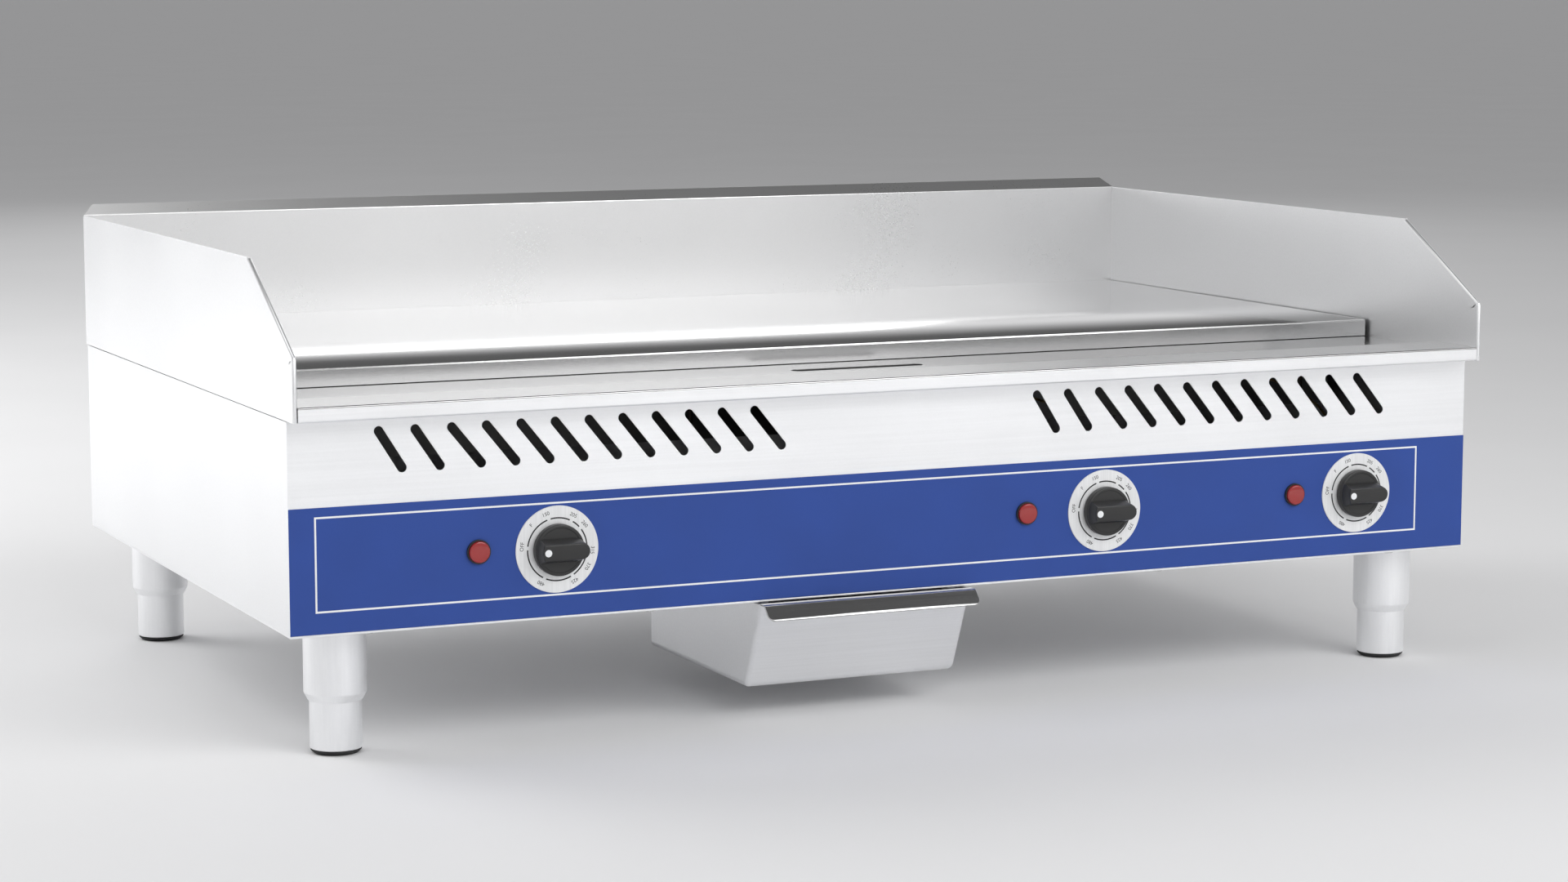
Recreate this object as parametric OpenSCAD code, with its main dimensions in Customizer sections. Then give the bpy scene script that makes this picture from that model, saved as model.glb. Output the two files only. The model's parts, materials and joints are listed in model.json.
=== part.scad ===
/* [Overall] */
// Width over the two side guards
overall_w = 914.4; // [880:0.1:960]
// Depth of the lower case, front face to back face
case_d = 534; // [500:1:560]
// Height of the lower case
case_h = 142; // [135:0.5:150]
// Height of the underside of the case above the surface it stands on
leg_h = 86; // [80:0.5:100]
// Thickness of the folded sheet metal
sheet = 1.2; // [1:0.1:1.5]

/* [Top] */
// How far the front apron and guards stand ahead of the case
apron_out = 18; // [14:0.5:22]
// Height of the front apron
apron_h = 11; // [10:0.5:14]
// Depth of the flat shelf behind the apron
shelf_d = 53; // [40:1:60]
// Drop from the shelf to the trough floor
trough_drop = 5.4; // [3:0.2:6]
// Distance from the case front to the plate's front edge
plate_start = 129.4; // [115:0.2:140]
// Thickness of the griddle plate
plate_t = 12.7; // [9.5:0.1:19]
// Height of the guards' plain top edge above the case
guard_h = 100.6; // [95:0.2:110]
// Height of the guards' front vertical edge above the case
guard_front_h = 43.5; // [35:0.5:60]
// Distance from the case front to where the guards' slope ends
slope_end = 80; // [60:1:110]
// Width of the folded hem on the guards' front edges
hem_w = 3.2; // [2.8:0.1:4]
// Rise and set-back of the turned top edge of the splash
flange = 8.4; // [6:0.2:10]
// Length of the drain slot
drain_l = 104; // [80:1:104]
// Width of the drain slot
drain_w = 12.5; // [12:0.5:16]
// Middle of the drain slot across the case
drain_x = -5; // [-14:1:-5]
// Distance from the case front to the middle of the drain slot
drain_y = 90; // [80:0.5:94]

/* [Controls] */
// Places of the dials across the case
dial_x = [-271.2, 147.6, 361.1];
// Places of the pilot lamps across the case
lamp_x = [-326.7, 84.4, 307.5];
// Height of the dials above the underside of the case
dial_z = 47.1; // [42:0.1:50]
// Height of the lamps above the underside of the case
lamp_z = 49; // [42:0.5:55]
// Height of the coloured band
band_h = 85; // [80:0.5:90]
// Diameter of a dial plate
dial_d = 59; // [55:0.5:62]
// Diameter of a knob
knob_d = 35; // [32:0.5:38]
// How far a knob stands out of the case front
knob_out = 16.5; // [15:0.5:20]
// Diameter of a lamp's bezel
lamp_d = 16.4; // [15:0.2:18]

/* [Vents] */
// Slots in each group
vent_count = 12; // [6:1:12]
// Pitch of the slots
vent_pitch = 24.2; // [20:0.1:25]
// Width of a slot
vent_w = 6.5; // [5:0.1:8]
// Sideways lean of a slot between its two end centres
vent_lean = 20.3; // [10:0.1:22]
// Height between a slot's end centres
vent_rise = 24.8; // [20:0.1:28]
// Height of the slots' lower end centres above the underside of the case
vent_z = 108.2; // [104:0.1:110]
// Middle of the first slot in each group
vent_x = [-386.5, 100.2];

/* [Drip tray] */
// Width of the tray
tray_w = 162.5; // [150:0.5:170]
// Middle of the tray across the case
tray_x = -42.75; // [-50:0.25:-35]
// Distance from the case front to the back of the tray
tray_back = 195.5; // [180:0.5:220]
// Depth of the tray below the case
tray_drop = 63.6; // [50:0.2:70]
// Distance from the case front to the foot of the sloping tray front
tray_foot = 21; // [15:0.5:26]
// How far the top of the tray front stands ahead of the case
tray_lead = 6; // [4:0.5:8]

/* [Legs] */
// Inset of the leg centres from the sides of the case
leg_in_x = 42.5; // [35:0.5:60]
// Inset of the leg centres from the front and back of the case
leg_in_y = 41; // [35:0.5:60]
// Diameter of the upper leg tube
leg_d = 42.3; // [38:0.1:48]
// Diameter of the adjustable foot
foot_d = 35.2; // [30:0.1:36]
// Height of the rubber glide below the foot
glide_h = 3.2; // [2:0.2:5]

/* [Hidden] */
$fn = 48;

// The tray's pull is the foremost point and the splash's turned edge the rearmost
pull_reach = 15;
front_reach = tray_lead + pull_reach;
total_d = front_reach + case_d + flange;
front_y = front_reach - total_d / 2;

// Levels, from the surface the griddle stands on
case_z = leg_h;
pan_t = 1.5;
panel_z = case_z + pan_t;
top_z = case_z + case_h;
seam = 0.8;
apron_z = top_z + seam;
shelf_z = top_z + apron_h;
plate_gap = 0.8;
plate_z = shelf_z - trough_drop + plate_gap;
guard_z = top_z + guard_h;
floor_z = plate_z - plate_gap - sheet;

// Half widths of the case and of what fits between the guards
guard_step = 1;
case_hw = overall_w / 2 - guard_step;
guard_hw = overall_w / 2;
inner_hw = guard_hw - sheet - 0.1;
plate_hw = inner_hw - 2.4;
plate_end = case_d - sheet - 0.2;

// Panels, flanges and screws
fold = 12;
film = 0.5;
film_gap = 0.2;
screw_r = 4.2;
gland_x = 340;
gland_z = case_z + 45;
gland_r = 6.5;

// Heating zones across the plate
zone_pitch = 303;
zones = [-zone_pitch, 0, zone_pitch];
rod_r = 4;
rod_z = plate_z - rod_r - 0.3;
run_x = 72;
rod_front = 190;
rod_back = 462;
rod_end = plate_start + 26;
rod_drop = 22;
end_r = 10;
clamp_t = 3.2;
clamp_y = [262, 404];
clamp_z = rod_z - rod_r - 0.3 - clamp_t;
stud_r = 3;
stud_l = 26;
shield_z = case_z + 92.6;
wool_t = 26;

// Thermostats, shafts and knobs
shaft_r = 3;
bush_r = 4.8;
bush_bore = 0.05;
body_back = 44;
skirt_y = -2;
skirt_h = 5.5;
bar_w = 10.6;
bar_foot_w = 17;
bar_reach = 17.9;

// Tray rails and sheet
tray_x0 = tray_x - tray_w / 2;
tray_x1 = tray_x + tray_w / 2;
tray_top = case_z - 1;
tray_rim = 12;
pull_z = tray_top - sheet / 2;
pull_in = 1.6;
chute_drop = 4;
chute_lean = 27;

// Legs
stud_leg_r = 5;
leg_points = [
    [-case_hw + leg_in_x, leg_in_y],
    [case_hw - leg_in_x, leg_in_y],
    [-case_hw + leg_in_x, case_d - leg_in_y],
    [case_hw - leg_in_x, case_d - leg_in_y]
];
collar_z = leg_h - 45;
collar_end = leg_h - 50;
foot_play = 0.3;
foot_top = leg_h - 18;
stem_r = 6;
thread_play = 0.05;

// Colours
c_satin = [0.86, 0.87, 0.88];
c_side = [0.93, 0.94, 0.95];
c_polish = [0.78, 0.79, 0.80];
c_band = [0.21, 0.30, 0.56];
c_black = [0.12, 0.12, 0.12];
c_dial = [0.92, 0.93, 0.93];
c_red = [0.62, 0.09, 0.08];
c_steel = [0.55, 0.56, 0.57];
c_brass = [0.78, 0.62, 0.30];
c_rod = [0.38, 0.34, 0.31];
c_wool = [0.90, 0.86, 0.74];

// Everything is drawn from the case's front face, then moved so that the origin is
// below the middle of the whole griddle
module from_front() {
    translate([0, front_y, 0]) children();
}

// A box between two opposite corners
module block(a, b) {
    translate(a) cube(b - a);
}

// An outline in Y and Z, drawn out across X from x0 to x1
module across(x0, x1) {
    translate([x0, 0, 0])
        rotate([90, 0, 90])
            linear_extrude(x1 - x0) children();
}

// A cylinder along Y from y0 to y1
module along_y(r, x, z, y0, y1) {
    translate([x, y1, z]) rotate([90, 0, 0]) cylinder(r = r, h = y1 - y0);
}

// A route with its corners cut twice, so that it bends smoothly
function cut_corners(p) = [
    p[0],
    for (i = [0 : len(p) - 2], k = [0.25, 0.75]) p[i] + (p[i + 1] - p[i]) * k,
    p[len(p) - 1]
];
function smooth(p) = cut_corners(cut_corners(p));

function unit(v) = v / norm(v);
function along(angle) = [cos(angle), sin(angle)];
function step_dir(p, i) = unit(p[i + 1] - p[i]);
function tangent(p, i) =
    i == 0 ? step_dir(p, 0) :
    i == len(p) - 1 ? step_dir(p, i - 1) :
    unit(step_dir(p, i - 1) + step_dir(p, i));

// A direction square to the route at each point, carried along without twist
function normals(p, u, i = 0) =
    i == len(p) ? [] :
    let (t = tangent(p, i), w = unit(u - (u * t) * t))
        concat([w], normals(p, w, i + 1));

// A round tube along a route; first is any direction that isn't along its first step
module tube(p, r, first, sides = 8) {
    n = normals(p, first);
    last = len(p) - 1;
    points = [
        for (i = [0 : last], j = [0 : sides - 1])
            let (a = 360 * j / sides, w = cross(tangent(p, i), n[i]))
                p[i] + r * (cos(a) * n[i] + sin(a) * w)
    ];
    walls = [
        for (i = [0 : last - 1], j = [0 : sides - 1])
            let (k = (j + 1) % sides)
                [i * sides + j, (i + 1) * sides + j, (i + 1) * sides + k, i * sides + k]
    ];
    start_cap = [for (j = [0 : sides - 1]) j];
    end_cap = [for (j = [sides - 1 : -1 : 0]) last * sides + j];
    polyhedron(points, concat(walls, [start_cap, end_cap]));
}

// A slot with round ends between two end centres, cut through along Y
module slot_cut(a, b, w, y0, y1) {
    turn = atan2(b.y - a.y, b.x - a.x);
    steps = 16;
    translate([0, y1, 0])
        rotate([90, 0, 0])
            linear_extrude(y1 - y0)
                polygon([
                    for (i = [0 : steps]) a + w / 2 * along(turn + 90 + 180 * i / steps),
                    for (i = [0 : steps]) b + w / 2 * along(turn - 90 + 180 * i / steps)
                ]);
}

/* Lower case */

module bottom_pan() {
    hole = 5.6;
    color(c_satin) from_front() difference() {
        union() {
            block([-case_hw, 0, case_z], [case_hw, case_d, panel_z]);
            for (s = [0, 1]) mirror([s, 0, 0]) {
                block([case_hw - sheet - 2, 80, panel_z],
                      [case_hw - sheet - 0.2, case_d - 80, panel_z + fold]);
            }
        }
        for (p = leg_points) {
            translate([p.x, p.y, case_z - 1]) cylinder(r = hole, h = pan_t + 2);
        }
        block([drain_x - drain_l / 2 - 4, drain_y - drain_w / 2 - 4, case_z - 1],
              [drain_x + drain_l / 2 + 4 - chute_lean, drain_y + drain_w / 2 + 4, panel_z + 1]);
        // Air slots below the controls and below the heat shield
        for (i = [0 : 6], y = [150, 330]) {
            x0 = 170 + 30 * i;
            block([x0, y, case_z - 1], [x0 + 8, y + 60, panel_z + 1]);
            block([-x0 - 8, y, case_z - 1], [-x0, y + 60, panel_z + 1]);
        }
    }
}

// Side sheet with its front, back and top edges folded inwards
module side_panel() {
    block([case_hw - sheet, sheet, panel_z], [case_hw, case_d - sheet, top_z]);
    block([case_hw - fold, sheet, panel_z], [case_hw - sheet, sheet * 2, top_z]);
    block([case_hw - fold, case_d - sheet * 2, panel_z], [case_hw - sheet, case_d - sheet, top_z]);
}

module side_panel_left() {
    color(c_side) from_front() mirror([1, 0, 0]) side_panel();
}

module side_panel_right() {
    color(c_side) from_front() side_panel();
}

module back_panel() {
    gland_hole = 10.4;
    color(c_satin) from_front() difference() {
        block([-case_hw, case_d - sheet, panel_z], [case_hw, case_d, top_z]);
        along_y(gland_hole, gland_x, gland_z, case_d - 5, case_d + 5);
        for (i = [0 : 9], s = [-1, 1]) {
            x = s * (60 + 22 * i) - 40;
            slot_cut([x, case_z + 100], [x, case_z + 122], vent_w, case_d - 5, case_d + 5);
        }
    }
}

// The first two slots of each group lean less and stand a little further apart
function vent_mid(i) = i == 0 ? 0 : i == 1 ? 25.6 : 52.6 + vent_pitch * (i - 2);
function vent_skew(i) = i == 0 ? vent_lean - 4.7 : i == 1 ? vent_lean - 3.5 : vent_lean;

module front_panel() {
    color(c_satin) from_front() difference() {
        union() {
            block([-case_hw, 0, panel_z], [case_hw, sheet, top_z]);
            block([-case_hw + fold + 1, sheet, top_z - sheet], [case_hw - fold - 1, sheet + fold, top_z]);
        }
        for (x0 = vent_x, i = [0 : vent_count - 1]) {
            x = x0 + vent_mid(i);
            h = vent_skew(i) / 2;
            z0 = case_z + vent_z;
            slot_cut([x + h, z0], [x - h, z0 + vent_rise], vent_w, -2, sheet + 2);
        }
        for (x = dial_x) along_y(bush_r + 0.4, x, case_z + dial_z, -2, sheet + 2);
        for (x = lamp_x) along_y(6.4, x, case_z + lamp_z, -2, sheet + 2);
    }
}

module control_fascia() {
    color(c_band) from_front() difference() {
        block([-case_hw, -film, panel_z + film_gap], [case_hw, 0, case_z + band_h]);
        for (x = dial_x) along_y(bush_r + 0.4, x, case_z + dial_z, -2, 2);
        for (x = lamp_x) along_y(6.4, x, case_z + lamp_z, -2, 2);
    }
}

/* Top */

// Folded sheet: underside return, apron, shelf, step and floor, with a bead along the apron
module trough_outline(full) {
    bead_r = 1;
    y0 = -apron_out;
    y1 = shelf_d - apron_out;
    if (!full) {
        translate([y0, apron_z]) square([apron_out - 1, sheet]);
        translate([y0, apron_z]) square([sheet, shelf_z - apron_z - bead_r]);
        translate([y0 + bead_r, shelf_z - bead_r]) circle(r = bead_r, $fn = 32);
    }
    translate([y0 + bead_r, shelf_z - sheet - 0.4]) square([y1 - y0 - bead_r, sheet]);
    translate([y1 - sheet, floor_z]) square([sheet, shelf_z - floor_z - 0.4]);
    translate([y1 - sheet, floor_z]) square([plate_start + 16 - y1, sheet]);
}

module front_trough() {
    hem_gap = 0.2;
    w = guard_hw - hem_w - hem_gap;
    r = drain_w / 2;
    h = drain_l / 2 - r;
    color(c_polish) from_front() difference() {
        union() {
            across(-w, w) trough_outline(false);
            difference() {
                across(-inner_hw, inner_hw) trough_outline(true);
                block([-guard_hw, -apron_out - 1, apron_z - 1], [guard_hw, 0, shelf_z + 1]);
            }
        }
        translate([drain_x, drain_y, floor_z - 2]) {
            for (s = [-1, 1]) translate([s * h, 0, 0]) cylinder(r = r, h = 6);
            translate([-h, -r, 0]) cube([2 * h, drain_w, 6]);
        }
    }
}

// Side guard: plain sheet with a folded hem down the slope and the front edge
module guard() {
    slope = [slope_end + apron_out, guard_h - guard_front_h];
    slope_l = norm(slope);
    slope_a = atan2(slope.y, slope.x);
    hem_r = hem_w / 2;
    hem_in = 9;
    corner = 2.2;
    front_l = guard_front_h - seam - corner;
    x0 = guard_hw - hem_w;
    across(guard_hw - sheet, guard_hw) polygon([
        [-apron_out + hem_r, apron_z],
        [case_d, apron_z],
        [case_d, guard_z],
        [slope_end, guard_z],
        [-apron_out + hem_r, top_z + guard_front_h + (slope.y / slope.x) * hem_r]
    ]);
    // Front hem
    translate([guard_hw - hem_r, -apron_out + hem_r, apron_z]) cylinder(r = hem_r, h = front_l);
    block([x0, -apron_out + hem_r, apron_z], [x0 + sheet, -apron_out + hem_in, apron_z + front_l]);
    // Sloping hem
    translate([0, -apron_out, top_z + guard_front_h])
        rotate([slope_a, 0, 0]) {
            translate([guard_hw - hem_r, corner, -hem_r])
                rotate([-90, 0, 0]) cylinder(r = hem_r, h = slope_l - corner - 1);
            block([x0, corner, -hem_in], [x0 + sheet, slope_l - corner - 1, -hem_r]);
        }
}

module guard_left() {
    color(c_side) from_front() mirror([1, 0, 0]) guard();
}

module guard_right() {
    color(c_side) from_front() guard();
}

module back_splash() {
    miter = 9;
    flange_l = flange * sqrt(2);
    color(c_polish) from_front() {
        block([-inner_hw, case_d - sheet, apron_z], [inner_hw, case_d, guard_z]);
        block([-guard_hw, case_d - sheet, guard_z], [guard_hw, case_d, guard_z + 0.5]);
        // The top edge turned back at 45 degrees, with mitred ends
        translate([0, case_d - sheet, guard_z + 0.3])
            rotate([45, 0, 0])
                linear_extrude(sheet)
                    polygon([
                        [-guard_hw, 0],
                        [guard_hw, 0],
                        [guard_hw - miter, flange_l],
                        [-guard_hw + miter, flange_l]
                    ]);
    }
}

module griddle_plate() {
    bevel = 1;
    color(c_polish) from_front() {
        across(-plate_hw, plate_hw) polygon([
            [plate_start, plate_z],
            [plate_end, plate_z],
            [plate_end, plate_z + plate_t],
            [plate_start + bevel, plate_z + plate_t],
            [plate_start, plate_z + plate_t - bevel]
        ]);
        // Studs welded to the underside
        for (x = zones, s = [-1, 1], y = clamp_y) {
            translate([x + s * run_x, y, plate_z - stud_l]) cylinder(r = stud_r, h = stud_l + 1, $fn = 24);
        }
    }
}

// Open box that leads from the drain slot down into the tray
module drain_chute() {
    gap = 2;
    x0 = drain_x - drain_l / 2 - gap;
    x1 = drain_x + drain_l / 2 + gap;
    y0 = drain_y - drain_w / 2 - gap;
    y1 = drain_y + drain_w / 2 + gap;
    z0 = case_z - chute_drop;
    z1 = floor_z - 0.1;
    color(c_steel) from_front() difference() {
        union() {
            translate([0, y1, 0]) rotate([90, 0, 0]) linear_extrude(y1 - y0)
                polygon([[x0, z1], [x1, z1], [x1 - chute_lean, z0], [x0, z0]]);
            block([x0 - 8, y0 - 8, z1 - sheet], [x1 + 8, y1 + 8, z1]);
        }
        translate([0, y1 - sheet, 0]) rotate([90, 0, 0]) linear_extrude(y1 - y0 - 2 * sheet)
            polygon([
                [x0 + sheet, z1 + 1],
                [x1 - sheet, z1 + 1],
                [x1 - sheet - chute_lean, z0 - 1],
                [x0 + sheet, z0 - 1]
            ]);
    }
}

// Angles that carry the plate along both sides and the back
module plate_rails() {
    t = 3;
    in_w = 26;
    leg_l = 30;
    color(c_steel) from_front() {
        for (s = [0, 1]) mirror([s, 0, 0]) {
            x1 = case_hw - sheet - 0.2;
            block([x1 - in_w, plate_start + 20, plate_z - t], [inner_hw, plate_end - in_w - 1, plate_z]);
            block([x1 - t, plate_start + 20, plate_z - leg_l], [x1, plate_end - in_w - 1, plate_z - t]);
        }
        block([-inner_hw, plate_end - in_w, plate_z - t], [inner_hw, plate_end, plate_z]);
        block([-case_hw + fold + 2, plate_end - t, plate_z - leg_l],
              [case_hw - fold - 2, plate_end, plate_z - t]);
    }
}

/* Heating */

// Points of a round bend between two runs, level with them
function level_bend(x, y, from, to) = [
    for (i = [0 : 10])
        let (a = from + (to - from) * i / 10)
            [x + run_x / 2 * cos(a), y + run_x / 2 * sin(a), rod_z]
];

// Points of an end that turns down at the front of a run
function end_bend(x) = [
    [x, rod_end, rod_z - rod_drop],
    for (i = [0 : 4])
        let (a = 180 - 90 * i / 4)
            [x, rod_end + end_r + end_r * cos(a), rod_z - end_r + end_r * sin(a)]
];

function turned(p) = [for (i = [len(p) - 1 : -1 : 0]) p[i]];

// Four runs under the plate, joined in a serpentine, with a terminal pin at each end
module element(x) {
    pin_l = 16;
    pin_r = 1.8;
    route = concat(
        end_bend(x - 1.5 * run_x),
        level_bend(x - run_x, rod_back, 180, 0),
        level_bend(x, rod_front, 180, 360),
        level_bend(x + run_x, rod_back, 180, 0),
        turned(end_bend(x + 1.5 * run_x))
    );
    color(c_rod) from_front() {
        tube(route, rod_r, [1, 0, 0], 12);
        for (i = [-1.5, 1.5]) {
            translate([x + i * run_x, rod_end, rod_z - rod_drop - pin_l]) cylinder(r = pin_r, h = pin_l);
        }
    }
}

module element_1() {
    element(zones[0]);
}

module element_2() {
    element(zones[1]);
}

module element_3() {
    element(zones[2]);
}

module element_clamps() {
    half_l = 2 * run_x;
    half_w = 11;
    color(c_steel) from_front() for (x = zones, y = clamp_y) difference() {
        block([x - half_l + 20, y - half_w, clamp_z], [x + half_l - 20, y + half_w, clamp_z + clamp_t]);
        for (s = [-1, 1]) {
            translate([x + s * run_x, y, clamp_z - 1]) cylinder(r = stud_r + 0.3, h = clamp_t + 2);
        }
    }
}

module hex_nut(across_flats, h, bore) {
    difference() {
        cylinder(d = across_flats / cos(30), h = h, $fn = 6);
        translate([0, 0, -1]) cylinder(r = bore, h = h + 2, $fn = 24);
    }
}

module clamp_nuts() {
    nut_h = 5;
    color(c_steel) from_front() for (x = zones, s = [-1, 1], y = clamp_y) {
        translate([x + s * run_x, y, clamp_z - nut_h - 0.1]) hex_nut(10, nut_h, stud_r + 0.1);
    }
}

module heat_shield() {
    back = case_d - sheet * 2 - 1;
    hw = case_hw - fold - 2;
    color(c_steel) from_front() {
        block([-hw, plate_start + 34, shield_z], [hw, back, shield_z + sheet]);
        block([-hw, plate_start + 34, shield_z], [hw, plate_start + 34 + sheet, shield_z + wool_t]);
        for (s = [0, 1]) mirror([s, 0, 0]) {
            block([hw - sheet, plate_start + 34, shield_z], [hw, back, shield_z + wool_t]);
        }
    }
}

module insulation_blanket() {
    hw = case_hw - fold - 4;
    color(c_wool) from_front()
        block([-hw, plate_start + 36, shield_z + sheet],
              [hw, case_d - sheet * 2 - 2, shield_z + sheet + wool_t]);
}

/* Controls */

// Switch housing with a nose bush through the panel and a bracket against its back
module thermostat(x) {
    z = case_z + dial_z;
    color(c_black) from_front() difference() {
        union() {
            block([x - 19, 8, z - 17], [x + 19, body_back, z + 17]);
            block([x - 26, sheet + 0.2, z - 12], [x + 26, sheet + 1.8, z + 12]);
            block([x - 26, sheet + 0.2, z - 12], [x - 24.5, 12, z + 12]);
            block([x + 24.5, sheet + 0.2, z - 12], [x + 26, 12, z + 12]);
            block([x - 26, 8, z - 12], [x + 26, 12, z + 12]);
            along_y(bush_r, x, z, -1, 9);
        }
        along_y(shaft_r + bush_bore, x, z, -3, 14);
    }
}

module thermostat_1() {
    thermostat(dial_x[0]);
}

module thermostat_2() {
    thermostat(dial_x[1]);
}

module thermostat_3() {
    thermostat(dial_x[2]);
}

module shaft(x) {
    color(c_brass) from_front()
        along_y(shaft_r, x, case_z + dial_z, -11, 13);
}

module shaft_1() {
    shaft(dial_x[0]);
}

module shaft_2() {
    shaft(dial_x[1]);
}

module shaft_3() {
    shaft(dial_x[2]);
}

// Sensing bulb under the plate with its capillary down to the thermostat
module bulb(i) {
    bulb_r = 3.1;
    capillary_r = 1;
    bulb_y = 226;
    x = zones[i];
    z = plate_z - bulb_r - 0.3;
    tz = case_z + dial_z + 17;
    color(c_brass) from_front() {
        along_y(bulb_r, x, z, bulb_y, bulb_y + 104);
        tube(smooth([
            [x, bulb_y, z],
            [x, bulb_y - 20, clamp_z - 4],
            [x, bulb_y - 50, clamp_z - 8],
            [dial_x[i], 120, clamp_z - 14],
            [dial_x[i], 34, tz + 40],
            [dial_x[i], 30, tz]
        ]), capillary_r, [1, 0, 0]);
    }
}

module bulb_1() {
    bulb(0);
}

module bulb_2() {
    bulb(1);
}

module bulb_3() {
    bulb(2);
}

module dial(x) {
    color(c_dial) from_front() difference() {
        along_y(dial_d / 2, x, case_z + dial_z, -film - 0.8, -film);
        along_y(bush_r + 0.4, x, case_z + dial_z, -3, 1);
    }
}

module dial_1() {
    dial(dial_x[0]);
}

module dial_2() {
    dial(dial_x[1]);
}

module dial_3() {
    dial(dial_x[2]);
}

// Round skirt with a raised bar across it, wider at its foot; the bar points to the left
module knob(x) {
    r = knob_d / 2;
    face = skirt_y - skirt_h;
    nose = -knob_out;
    bar_r = r - 0.3;
    color(c_black) from_front() translate([x, 0, case_z + dial_z]) difference() {
        union() {
            translate([0, skirt_y, 0]) rotate([90, 0, 0]) rotate_extrude($fn = 96)
                polygon([[0, 0], [r, 0], [r, skirt_h - 1.5], [r - 1.5, skirt_h], [0, skirt_h]]);
            intersection() {
                // Side outline of the bar: a steep ramp on the pointer side
                translate([0, 0, -r]) linear_extrude(2 * r)
                    polygon([
                        [-r, face + 1],
                        [bar_reach, face + 1],
                        [bar_reach, nose],
                        [-r + 1.9, nose],
                        [-r + 1.2, face - 1.5]
                    ]);
                // End outline of the bar: its flanks draw in towards the front
                translate([-r - 1, 0, 0]) rotate([90, 0, 90]) linear_extrude(2 * r + 2)
                    polygon([
                        [face + 1, -bar_foot_w / 2],
                        [face + 1, bar_foot_w / 2],
                        [nose, bar_w / 2],
                        [nose, -bar_w / 2]
                    ]);
                // Rounded ends
                translate([bar_reach - bar_r, 0, 0]) rotate([90, 0, 0])
                    cylinder(r = bar_r, h = knob_out + 4, $fn = 96);
            }
        }
        along_y(shaft_r + 0.02, 0, 0, -11.2, 0);
        along_y(bush_r + 0.8, 0, 0, skirt_y - 1, 0);
    }
}

module knob_1() {
    knob(dial_x[0]);
}

module knob_2() {
    knob(dial_x[1]);
}

module knob_3() {
    knob(dial_x[2]);
}

module lamp_lens(x) {
    r = lamp_d / 2 - 0.9;
    color(c_red) from_front() translate([x, -film - 0.6, case_z + lamp_z])
        rotate([90, 0, 0]) rotate_extrude($fn = 64)
            polygon([[0, 0], [r, 0], [r, 1.6], [r - 1.2, 2.8], [0, 3.4]]);
}

module lamp_lens_1() {
    lamp_lens(lamp_x[0]);
}

module lamp_lens_2() {
    lamp_lens(lamp_x[1]);
}

module lamp_lens_3() {
    lamp_lens(lamp_x[2]);
}

// Bezel in front of the panel and the lamp's barrel and two tabs behind it
module lamp_bodies() {
    barrel_r = 6.1;
    barrel_l = 28;
    color(c_black) from_front() for (x = lamp_x) {
        z = case_z + lamp_z;
        along_y(barrel_r, x, z, -film, barrel_l);
        difference() {
            along_y(lamp_d / 2, x, z, -film - 1.8, -film);
            along_y(lamp_d / 2 - 0.8, x, z, -film - 3, -film - 0.6);
        }
        along_y(barrel_r + 3, x, z, sheet + 0.1, sheet + 3.2);
        for (s = [-1, 1]) {
            block([x + s * 3 - 0.4, barrel_l - 1, z - 3], [x + s * 3 + 0.4, barrel_l + 8, z + 3]);
        }
    }
}

/* Electrics */

module terminal_block() {
    ways = 4;
    pitch = 16;
    x0 = gland_x - 120;
    y0 = case_d - 90;
    color(c_black) from_front() {
        block([x0, y0, panel_z + 0.1], [x0 + ways * pitch + 4, y0 + 30, panel_z + 10]);
        for (i = [0 : ways]) {
            block([x0 + i * pitch, y0, panel_z + 9], [x0 + i * pitch + 4, y0 + 30, panel_z + 24]);
        }
        for (i = [0 : ways - 1]) {
            translate([x0 + i * pitch + 10, y0 + 15, panel_z + 9]) cylinder(r = 4, h = 8, $fn = 24);
        }
    }
}

// Snap disc on a saddle, held up against the plate between two zones
module high_limit_switch() {
    x = -zone_pitch / 2;
    y = 330;
    z1 = plate_z - 0.2;
    color(c_steel) from_front() {
        translate([x, y, z1 - 9]) cylinder(r = 8, h = 9);
        block([x - 16, y - 5, z1 - 4], [x + 16, y + 5, z1 - 3]);
        for (s = [-1, 1]) block([x + s * 4 - 3, y - 0.5, z1 - 16], [x + s * 4 + 3, y + 0.5, z1 - 8]);
    }
}

// Gland for the supply cord: flanged body through the back panel with a locknut inside
module cable_gland() {
    out = 7.6;
    color(c_black) from_front() difference() {
        union() {
            along_y(10, gland_x, gland_z, case_d - 26, case_d + 1);
            along_y(14, gland_x, gland_z, case_d, case_d + out);
            translate([gland_x, case_d - sheet - 0.1, gland_z])
                rotate([90, 0, 0]) cylinder(r = 15, h = 5, $fn = 6);
        }
        along_y(gland_r, gland_x, gland_z, case_d - 30, case_d + out + 1);
    }
}

// Insulated leads from the terminal block along the floor of the case to the controls
module wiring_loom() {
    lead_r = 2.2;
    z = panel_z + 6;
    tx = gland_x - 108;
    ty = case_d - 75;
    color(c_red) from_front() for (i = [0 : 2]) {
        lane = 60 + 9 * i;
        tail = body_back + 2;
        tube(smooth([
            [tx + 16 * i, ty, panel_z + 22],
            [tx + 16 * i, ty - 30, z + 12],
            [tx + 16 * i, ty - 42, z],
            [tx + 16 * i, lane + 60, z],
            [dial_x[i] + 30, lane + 60, z],
            [dial_x[i] + 10, lane + 4, z + 20],
            [dial_x[i] + 10, tail, case_z + dial_z]
        ]), lead_r, [1, 0, 0]);
    }
}

/* Drip tray */

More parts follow.
